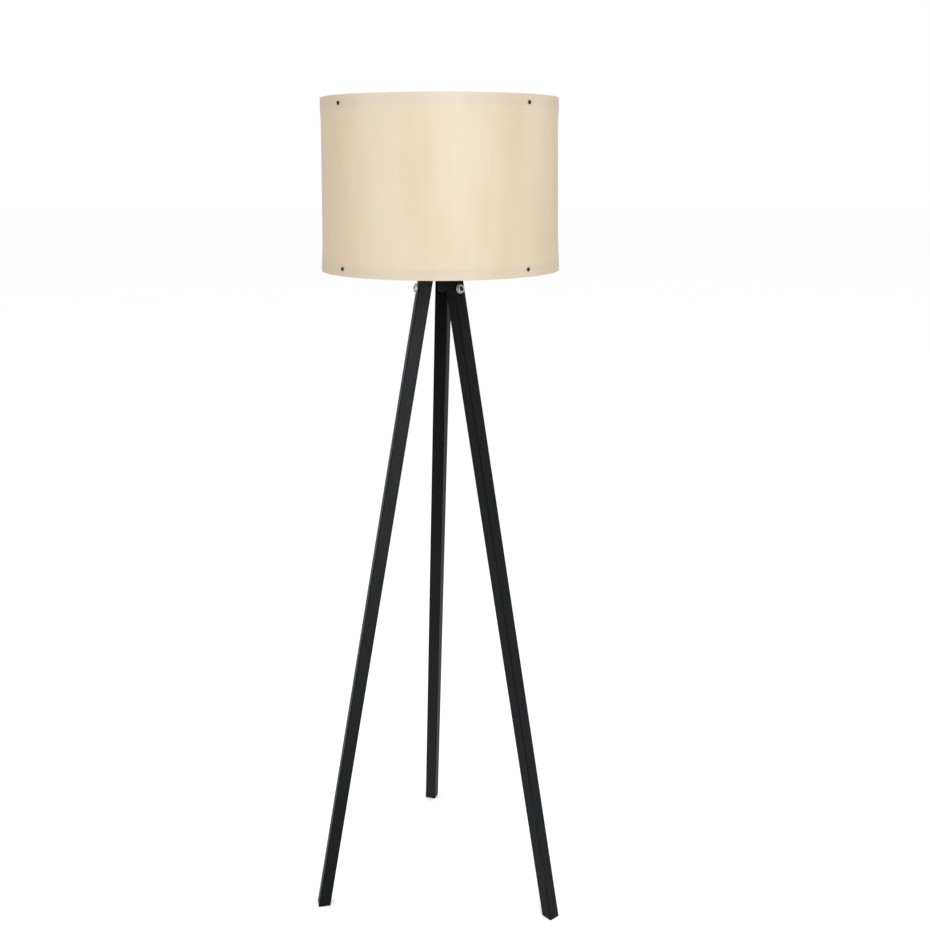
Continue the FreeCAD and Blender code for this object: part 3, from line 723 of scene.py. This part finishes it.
def build_film(finish, edge_finish):
    """The film: one long sheet wrapped round the rings, its ends lapped over each other at the back."""
    thickness = 0.8
    lap, lap_gap = 10.0, 0.05
    lift_from, lift_over = 14.0, 13.0
    waist, flat_by_ring = 1.4, 1.5
    columns, bands = 300, 36
    low, high = bottom("shade_film"), top("shade_film")
    low_radius = round_reach("shade_film", high=low + 0.5)
    high_radius = round_reach("shade_film", low=high - 0.5)
    narrow_low, narrow_high = top("lower_ring") + flat_by_ring, bottom("upper_ring") - flat_by_ring
    heights = [low, low + 0.5, low + 3, bottom("lower_ring"), top("lower_ring"), narrow_low]
    heights += [narrow_low + (narrow_high - narrow_low) * i / bands for i in range(1, bands)]
    heights += [narrow_high, bottom("upper_ring"), top("upper_ring"), high - 3, high - 0.5, high]
    lap_angle = lap / low_radius
    seam = math.radians(90) - lap_angle / 2
    skin = bmesh.new()
    grid = []
    for i in range(columns + 1):
        share = i / columns
        angle = seam + share * (ROUND + lap_angle)
        beyond = (share * (ROUND + lap_angle) - ROUND) * low_radius
        over = held((beyond + lift_from) / lift_over)
        lift = (thickness + lap_gap) * eased(over)
        row = []
        for height in heights:
            rise = (height - low) / (high - low)
            radius = low_radius + (high_radius - low_radius) * rise - thickness / 2 + lift
            between = held((height - narrow_low) / (narrow_high - narrow_low))
            hollow = 1 - (2 * between - 1) ** 8
            ripple = 0.1 * math.sin(5 * angle + 3 * between) + 0.07 * math.sin(13 * angle - 4 * between)
            radius += hollow * (ripple - waist)
            row.append(skin.verts.new((radius * math.cos(angle), radius * math.sin(angle), height)))
        grid.append(row)
    for here, there in zip(grid, grid[1:]):
        for k in range(len(heights) - 1):
            skin.faces.new([here[k], there[k], there[k + 1], here[k + 1]])
    bmesh.ops.recalc_face_normals(skin, faces=skin.faces)
    film = make_piece("film_wrap", [skin], "shade", finish, ["shade_film"])
    film.data.materials.append(edge_finish)
    wall = film.modifiers.new("wall", "SOLIDIFY")
    wall.thickness = thickness * MM
    wall.offset = 0
    wall.use_even_offset = True
    wall.material_offset_rim = 1


def build_ring(node, finish):
    """A flat fibreboard ring with its corners just broken."""
    outer = round_reach(node)
    widest_board = 15
    distances = [point.to_2d().length for point in points_of(node)]
    inner = min(distance for distance in distances if distance > outer - widest_board)
    low, high = bottom(node), top(node)
    outline = [(inner, low), (outer, low), (outer, high), (inner, high)]
    make_piece(f"{node}_board", [turned(soften(outline, 0.6), 288)], "shade", finish, [node])


def domed_head(radius, height, shank_radius, shank_length):
    """A domed screw with a cross recess; its head stands on z = 0 and its shank goes down."""
    brim, point, steps = 0.28, 1.6, 8
    dome = []
    for i in range(steps):
        lean = math.pi / 2 * i / steps
        dome.append((radius * math.cos(lean), height * (brim + (1 - brim) * math.sin(lean))))
    dome.append((0, height))
    outline = [(0, -shank_length), (shank_radius * 0.35, -shank_length), (shank_radius, point - shank_length)]
    outline += [(shank_radius, 0), (radius * 0.97, 0), *dome]
    long, wide = radius * 0.6, radius * 0.13
    slot = [(-long, -wide), (long, -wide), (long, wide), (-long, wide)]
    screw = turned(outline, 64)
    for quarter in range(2):
        bar = plate(slot, height * 0.42, height * 1.3, 0.05)
        for vertex in bar.verts:
            if vertex.co.z < height * 0.6:
                vertex.co.x *= 0.62
        screw = carved(screw, placed(bar, turn("Z", quarter * math.pi / 2)))
    return screw


def build_shade_screws(node, finish):
    """Four black domed screws that hold the film to one ring."""
    height = (bottom(node) + top(node)) / 2
    radius = (top(node) - bottom(node)) / 2
    reach = round_reach(node)
    beside = 3.5
    surface = round_reach("shade_film", height - beside, height + beside)
    skins = []
    for i, heading in enumerate(headings(node)):
        screw = domed_head(radius, reach - surface, shank_radius=1.4, shank_length=9)
        place = turn("Z", heading) @ shift(surface, 0, height) @ turn("Y", math.pi / 2)
        skins.append(placed(screw, place, turn("Z", 0.5 + 1.1 * i)))
    make_piece(f"{node}_domed", skins, "shade", finish, [node])


def build_spider(finish, screw_finish):
    """The shade's pressed-steel spider: a flat ring whose three arms slope down to the lower ring."""
    thickness = 1.5
    bore, middle, outer = 20.5, 25.5, 31.0
    slope_start, slope_end, screw_reach, tip, end_radius = 33.0, 176.0, 190.0, 196.0, 6.0
    ring_middle = top("shade_spider") - thickness / 2
    arm_middle = top("lower_ring") + thickness / 2
    neck, flare, root_fade, narrowest = 14.0, 2.4, 10.0, 0.9
    sides, root_steps = 90, 4
    skin = bmesh.new()
    rims = []
    for radius in (bore, middle, outer):
        angles = [ROUND * i / sides for i in range(sides)]
        spots = [(radius * math.cos(angle), radius * math.sin(angle), ring_middle) for angle in angles]
        rims.append([skin.verts.new(spot) for spot in spots])
    for inside, outside in zip(rims, rims[1:]):
        for i in range(sides):
            j = (i + 1) % sides
            skin.faces.new([inside[i], outside[i], outside[j], inside[j]])
    # Each arm's cross rows, closer together where it widens, bends and rounds off.
    stations = [31.6, 32.6, 34, 36, 38.5, 42, 47] + [54 + 10 * i for i in range(12)]
    stations += [170, 173, 175, 177, 179, 182, 186, 190, 192, 193.6, 194.8, 195.6, tip]
    for heading in headings("spider_screws"):
        centre = round(heading / ROUND * sides)
        straight = Matrix.Rotation(heading, 3, "Z")
        row = [rims[-1][(centre + k) % sides] for k in range(-root_steps, root_steps + 1)]
        root_half = outer * math.sin(ROUND * root_steps / sides)
        for station in stations:
            narrowing = held((station - outer) / neck)
            half = end_radius + (root_half - end_radius) * (1 - narrowing) ** flare
            if station > tip - end_radius:
                half = max(math.sqrt(max(end_radius**2 - (station - tip + end_radius) ** 2, 0)), narrowest)
            slope = held((station - slope_start) / (slope_end - slope_start))
            height = ring_middle + (arm_middle - ring_middle) * slope
            curve = 1 - held((station - outer) / root_fade)
            fresh = []
            for k in range(-root_steps, root_steps + 1):
                sideways = half * k / root_steps
                sag = curve * (math.sqrt(outer**2 - (root_half * k / root_steps) ** 2) - outer)
                spot = straight @ Vector((station + sag, sideways, height))
                fresh.append(skin.verts.new(spot))
            for k in range(2 * root_steps):
                skin.faces.new([row[k], fresh[k], fresh[k + 1], row[k + 1]])
            row = fresh
    bmesh.ops.recalc_face_normals(skin, faces=skin.faces)
    spider = make_piece("spider_frame", [skin], "shade", finish, ["shade_spider"])
    wall = spider.modifiers.new("sheet", "SOLIDIFY")
    wall.thickness = thickness * MM
    wall.offset = 0
    edges = spider.modifiers.new("rounded_edges", "BEVEL")
    edges.width = 0.3 * MM
    edges.segments = 3
    edges.limit_method = "ANGLE"
    edges.angle_limit = math.radians(50)
    screws = []
    for i, heading in enumerate(headings("spider_screws")):
        place = turn("Z", heading) @ shift(screw_reach, 0, arm_middle + thickness / 2)
        screw = domed_head(3.4, 2.0, shank_radius=1.5, shank_length=7)
        screws.append(placed(screw, place, turn("Z", 0.3 + i)))
    make_piece("spider_screws_domed", screws, "shade", screw_finish, ["spider_screws"])


# ---------------------------------------------------------------- the hub


def build_hub(finish):
    """The welded steel hub: a round plate with three ears, and a weld bead along each joint."""
    disc_thickness, radius, hole = 3.0, 23.0, 5.1
    end_radius, half_strap, thick = 8.0, 6.0, 2.5
    overlap, arc_steps = 0.6, 16
    low, high = top("hub_bracket") - disc_thickness, top("hub_bracket")
    disc = soften([(hole, low), (radius, low), (radius, high), (hole, high)], 0.5)
    skins = [turned(disc, 128)]
    neck = math.asin(half_strap / end_radius)
    for side in SIDES:
        place = stud_place(side)
        ear_back = stud_span(f"stud_{side}", side)[0]
        lean = math.asin(joints[f"leg_{side}_swing"]["axis"][2])
        rise = (low + overlap - (place @ Vector((0, 0, ear_back + thick))).z) / math.cos(lean)
        outline = [(-rise, -half_strap), (-rise, half_strap)]
        for i in range(2 * arc_steps + 1):
            angle = (math.pi - neck) * (1 - i / arc_steps)
            outline.append((end_radius * math.cos(angle), end_radius * math.sin(angle)))
        skins.append(placed(plate(outline, ear_back, ear_back + thick, 0.35), place))
        for face in (ear_back, ear_back + thick):
            joint_height = (low - (place @ Vector((0, 0, face))).z) / math.cos(lean)
            line = place @ Vector((-joint_height, 0, face))
            across = turn_to(place.col[1].to_3d())
            skins.append(placed(weld_bead(2 * half_strap - 1), shift(*line) @ across))
    make_piece("hub_bracket_welded", skins, "hub", finish, ["hub_bracket"])


def weld_bead(length):
    """A rippled bead of weld along Z, centred on the origin."""
    radius, ripple_length, count = 1.3, 1.3, 60
    outline = []
    for i in range(count + 1):
        share = i / count
        swell = math.sin(math.pi * share) ** 0.3 if 0 < share < 1 else 0
        ripple = 1 + 0.1 * math.sin(share * length / ripple_length * ROUND)
        outline.append((radius * swell * ripple, (share - 0.5) * length))
    return turned(outline, 20)


def turn_to(direction):
    """A turn that takes Z to a direction."""
    return direction.to_track_quat("Z", "Y").to_matrix().to_4x4()


def hexagon_profile(flats, hole, low, high):
    """The outline of a hexagon nut at an angle: flats, corners cut back to a cone at both ends."""
    ring = flats / 2 * 0.955
    steep = math.tan(math.radians(30))
    lead = 0.55

    def at(angle):
        away = (angle % (ROUND / 6)) - ROUND / 12
        side = flats / 2 / math.cos(away)
        drop = (side - ring) * steep
        halfway = (ring + side) / 2
        return [
            (hole + lead, low), (ring, low), (halfway, low + 0.5 * drop), (side, low + drop),
            (side, low + drop + 0.05), (side, high - drop - 0.05), (side, high - drop),
            (halfway, high - 0.5 * drop), (ring, high), (hole + lead, high), (hole, high - lead),
            (hole, low + lead),
        ]

    return at


def build_fasteners(side, finish, stud_finish):
    """One leg's stud with its thread, its washer and its nut; the ear's paint covers the stud's inner end."""
    place = stud_place(side)
    chamfer, pitch, depth, painted = 0.9, 1.25, 0.7, 0.5
    start, end, radius = stud_span(f"stud_{side}", side)
    start += painted
    plain = stud_span(f"washer_{side}", side)[0] - 2

    def stud_outline(angle):
        rows = thread(radius - depth, radius - 0.02, plain, end - chamfer, pitch, angle)
        return [(0, start), (radius - 0.4, start), (radius, start + 0.4), (radius, plain - 0.5),
                *rows, (radius - depth - chamfer * 0.5, end), (0, end)]

    stud = placed(turned(stud_outline, 48), place)
    make_piece(f"stud_{side}_threaded", [stud], "hub", stud_finish, [f"stud_{side}"])
    low, high, reach = stud_span(f"washer_{side}", side)
    rim = [(radius + 0.2, low), (reach, low), (reach, high), (radius + 0.2, high)]
    washer = placed(turned(soften(rim, 0.35), 64), place)
    make_piece(f"washer_{side}_plain", [washer], "hub", finish, [f"washer_{side}"])
    low, high, reach = stud_span(f"nut_{side}", side)
    nut = placed(turned(hexagon_profile(13.0, radius + 0.05, low, high), 144), place)
    make_piece(f"nut_{side}_hexagon", [nut], "hub", finish, [f"nut_{side}"], sharp=20)


def build_nipple(zinc, plastic):
    """The threaded tube through the hub, its lock nut and washer, and the cord's bush."""
    low, high = bottom("nipple"), top("nipple")
    bore, reach = 4.2, round_reach("nipple")

    def tube_outline(angle):
        rows = thread(reach - 0.5, reach, low + 0.3, high - 0.3, 1.0, angle)
        return [(bore + 0.2, low), (reach - 0.5, low), *rows, (reach - 0.5, high),
                (bore + 0.2, high), (bore, high - 0.3), (bore, low + 0.3)]

    make_piece("nipple_threaded", [turned(tube_outline, 64)], "hub", zinc, ["nipple"])
    nut = hexagon_profile(14.0, reach + 0.05, bottom("nipple_nut"), top("nipple_nut"))
    make_piece("nipple_nut_hexagon", [turned(nut, 144)], "hub", zinc, ["nipple_nut"], sharp=20)
    low, high, rim = bottom("nipple_washer"), top("nipple_washer"), round_reach("nipple_washer")
    washer = soften([(reach + 0.1, low), (rim, low), (rim, high), (reach + 0.1, high)], 0.3)
    make_piece("nipple_washer_plain", [turned(washer, 80)], "hub", zinc, ["nipple_washer"])
    low, high, flange = bottom("cord_bush"), top("cord_bush"), round_reach("cord_bush")
    bore, body = mounts["cord_inlet"]["dims"]["r_mm"], 4.1
    outline = [(bore, low + 1), (bore + 0.9, low), (flange, low), (flange, low + 2), (body, low + 2),
               (body, high - 0.6), (body - 0.2, high), (bore, high)]
    make_piece("cord_bush_moulded", [turned(soften(outline, 0.6), 80)], "hub", plastic,
               ["cord_bush"])


# ---------------------------------------------------------------- the lampholder


def build_lampholder(plastic, block, brass):
    """The lampholder's ribbed cap, threaded shell, insulating block, sleeve, contact and screws."""
    low, high, reach = bottom("holder_cap"), top("holder_cap"), round_reach("holder_cap")

    def cap_outline(angle):
        dip = 0.5 * grooves(angle, 36, 0.035)
        skirt = reach - 1.8
        return soften([
            (5.1, low), (14, low), (reach, low + 3.5), (reach, low + 6), (reach - dip, low + 6.6),
            (reach - dip, high - 2.6), (reach, high - 2), (reach, high), (skirt, high), (skirt, low + 4.5),
            (8.5, low + 4.8), (8.5, low + 9.5), (5.1, low + 9.5),
        ], 0.5, 3)

    make_piece("holder_cap_ribbed", [turned(cap_outline, 432)], "hub", plastic,
               ["holder_cap"])
    base, lip, shoulder = bottom("holder_shell"), top("holder_shell"), round_reach("holder_shell")

    def shell_outline(angle):
        rows = thread(19.35, 20.0, base + 3.2, lip - 1.4, SHELL_PITCH, angle, 10)
        return [
            (17.4, base), (shoulder - 0.5, base), (shoulder, base + 0.5), (shoulder, base + 2),
            (shoulder - 0.5, base + 2.5), (19.6, base + 2.6), *rows, (19.0, lip - 0.7), (18.3, lip),
            (15.6, lip), (15.2, lip - 0.4), (15.2, lip - 1.4), (15.6, lip - 1.6), (16.7, lip - 1.8),
            (17, lip - 2.4), (17, base + 0.4),
        ]

    make_piece("holder_shell_threaded", [turned(shell_outline, 128)], "hub", plastic,
               ["holder_shell"])
    floor, deck, width = bottom("holder_core"), top("holder_core"), round_reach("holder_core")
    outline = [(0, floor), (width - 2, floor), (width - 2, floor + 3), (width, floor + 4), (width, deck),
               (9.4, deck), (9.0, deck - 0.9), (5.2, deck - 0.9), (4.8, deck - 0.02), (0, deck - 0.02)]
    make_piece("holder_core_block", [turned(soften(outline, 0.5), 96)], "hub", block,
               ["holder_core"])
    low, high = bottom("holder_sleeve"), top("holder_sleeve")

    def sleeve_outline(angle):
        rows = thread(14.4, 13.9, low + 0.8, high - 0.8, LAMP_PITCH, angle, 12)
        outer = [(14.4, low), *rows, (14.4, high)]
        return outer + [(radius - 0.4, height) for radius, height in reversed(outer)]

    make_piece("holder_sleeve_threaded", [turned(sleeve_outline, 128)], "hub", brass,
               ["holder_sleeve"])
    make_piece("holder_contact_spring", [contact_spring()], "hub", brass, ["holder_contact"])
    screws = []
    offset, shank, head = 9.5, 8.0, 1.8
    outline = soften([(0, -shank), (1.4, -shank), (1.4, 0), (2.6, 0), (2.6, head), (0, head)], 0.3)
    for i, spot in enumerate((-offset, offset)):
        slot = plate([(-4, -0.35), (4, -0.35), (4, 0.35), (-4, 0.35)], head / 2, 3, 0.03)
        screw = carved(turned(outline, 48), slot)
        place = shift(spot, 0, bottom("terminal_screws") + head) @ turn("X", math.pi)
        screws.append(placed(screw, place, turn("Z", 0.4 + i)))
    make_piece("terminal_screws_slotted", screws, "hub", brass, ["terminal_screws"])


def contact_spring():
    """The centre contact: a brass strip that arches up towards the bulb's tip."""
    low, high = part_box("holder_contact")
    length, width = (high.x - low.x) / MM, (high.y - low.y) / MM
    base, arch, thick, steps = low.z / MM + 0.05, 0.45, 0.4, 24
    skin = bmesh.new()
    loops = []
    for i in range(steps + 1):
        share = i / steps
        x = (share - 0.5) * length
        lift = arch * (0.5 - 0.5 * math.cos(ROUND * share))
        half = width / 2 * math.sqrt(1 - (2 * share - 1) ** 6 * 0.75)
        corners = [(-half, 0), (half, 0), (half, thick), (-half, thick)]
        loops.append([skin.verts.new((x, y, base + lift + z)) for y, z in corners])
    for here, there in zip(loops, loops[1:]):
        for k in range(4):
            skin.faces.new([here[k], there[k], there[(k + 1) % 4], here[(k + 1) % 4]])
    skin.faces.new(loops[0])
    skin.faces.new(loops[-1])
    bmesh.ops.recalc_face_normals(skin, faces=skin.faces)
    round_edges(skin, 0.08)
    return skin


def build_ring_nut(finish):
    """The shade's clamping ring: a flange, a fluted grip and a thread in its bore."""
    low, high, flange = bottom("shade_ring_nut"), top("shade_ring_nut"), round_reach("shade_ring_nut")
    bore, grip, flange_top = 20.3, 24.5, low + 2.5

    def outline(angle):
        dip = 0.9 * grooves(angle, 24, 0.045)
        inner = thread(bore + 0.45, bore, low + 0.6, high - 0.6, SHELL_PITCH, angle)
        return [
            (bore + 0.5, low), (flange - 0.6, low), (flange - 0.15, low + 0.2), (flange, low + 0.7),
            (flange, flange_top - 0.9), (flange - 0.3, flange_top - 0.3), (flange - 1, flange_top),
            (grip + 1.2, flange_top + 0.4), (grip + 0.3, flange_top + 0.9), (grip, flange_top + 1.6),
            (grip - dip * 0.6, flange_top + 2.2), (grip - dip, flange_top + 2.8), (grip - dip, high - 0.9),
            (grip - dip * 0.8 - 0.25, high - 0.25), (grip - 0.9, high), (bore + 0.7, high),
            *reversed(inner),
        ]

    make_piece("shade_ring_nut_fluted", [turned(outline, 432)], "ring_nut", finish,
               ["shade_ring_nut"])


# ---------------------------------------------------------------- the bulb


def build_bulb(brass, black, cap_metal, plastic, diffuser):
    """A screw-base bulb: tip, insulator, threaded cap, finned housing and opal globe."""
    low, high, reach = bottom("bulb_tip"), top("bulb_tip"), round_reach("bulb_tip")
    outline = soften([(0, low), (reach * 0.7, low), (reach, low + 0.8), (reach, high), (0, high)], 0.8)
    make_piece("bulb_tip_domed", [turned(outline, 64)], "bulb", brass, ["bulb_tip"])
    low, high, reach = bottom("bulb_insulator"), top("bulb_insulator"), round_reach("bulb_insulator")
    outline = soften([(0, low), (4.9, low), (6, low + 1), (reach, high - 0.4), (reach, high), (0, high)], 0.8)
    make_piece("bulb_insulator_glass", [turned(outline, 80)], "bulb", black,
               ["bulb_insulator"])
    low, high, crest = bottom("bulb_cap"), top("bulb_cap"), round_reach("bulb_cap")

    def cap_outline(angle):
        rows = thread(crest - 0.85, crest, low + 1.2, high - 3.2, LAMP_PITCH, angle, 12)
        return [(0, low), (10, low), (11.4, low + 0.5), (crest - 0.9, low + 1.1), *rows,
                (crest - 0.85, high - 2.6), (crest - 0.2, high - 2), (crest - 0.2, high), (0, high)]

    make_piece("bulb_cap_threaded", [turned(cap_outline, 128)], "bulb", cap_metal, ["bulb_cap"])
    low, high, wide = bottom("bulb_housing"), top("bulb_housing"), round_reach("bulb_housing")
    foot, steps = 14.0, 16

    def housing_outline(angle):
        fin = 0.7 * grooves(angle, 30, 0.045)
        rows = []
        for i in range(steps + 1):
            share = i / steps
            fade = math.sin(math.pi * held((share - 0.12) / 0.7)) ** 0.5
            radius = foot + (wide - foot) * (0.35 * share + 0.65 * eased(share))
            rows.append((radius - fin * fade, low + 0.8 + (high - low - 2.4) * share))
        return [(0, low), (foot - 0.8, low), *rows, (wide, high - 0.8), (wide - 0.7, high), (0, high)]

    make_piece("bulb_housing_finned", [turned(housing_outline, 360)], "bulb", plastic,
               ["bulb_housing"])
    low, high, radius = bottom("bulb_globe"), top("bulb_globe"), round_reach("bulb_globe")
    centre = high - radius
    rim_lean = math.asin((low - centre) / radius)
    rim = radius * math.cos(rim_lean)
    start, rows = rim_lean + 0.012, 40
    shell = [(0, low), (rim - 1.2, low), (rim - 0.2, low + 0.1)]
    for i in range(rows):
        lean = start + (math.pi / 2 - start) * i / rows
        shell.append((radius * math.cos(lean), centre + radius * math.sin(lean)))
    shell.append((0, high))
    make_piece("bulb_globe_opal", [turned(shell, 96)], "bulb", diffuser, ["bulb_globe"])


# ---------------------------------------------------------------- the whole lamp

aim_camera()
light_studio()
lay_floor()

zinc = zinc_finish()
brass = brass_finish()
black_screws = black_screw_finish()
black_plastic = moulded_finish("black_moulded_plastic", (0.018, 0.018, 0.019), (0.032, 0.032, 0.033), 0.42)
white_plastic = moulded_finish("white_moulded_plastic", (0.78, 0.78, 0.765), (0.86, 0.86, 0.845), 0.4)
black_glass = moulded_finish("black_glass", (0.010, 0.010, 0.013), (0.02, 0.02, 0.024), 0.12, texture=500)

for leg_side in SIDES:
    leg_node = frame["nodes"][f"leg_{leg_side}"]
    leg_node.data.materials.clear()
    leg_node.data.materials.append(leg_paint_finish(leg_side))
    build_fasteners(leg_side, zinc, black_screws)

build_film(shade_film_finish(), cut_edge_finish())
for ring_node in ("lower_ring", "upper_ring"):
    build_ring(ring_node, fibreboard_finish(ring_node))
for screw_node in ("lower_shade_screws", "upper_shade_screws"):
    build_shade_screws(screw_node, black_screws)
white_coat = powder_coat_finish("white_powder_coat", (0.70, 0.69, 0.66), (0.78, 0.77, 0.74), 0.42)
build_spider(white_coat, black_screws)
black_coat = powder_coat_finish("black_powder_coat", (0.006, 0.006, 0.0065), (0.010, 0.010, 0.0105), 0.5,
                                gloss=0.12)
build_hub(black_coat)
build_nipple(zinc, black_plastic)
build_lampholder(black_plastic, core_block_finish(), brass)
build_ring_nut(black_plastic)
build_bulb(brass, black_glass, bulb_cap_finish(), white_plastic, diffuser_finish())

bpy.context.scene.view_settings.view_transform = "Standard"
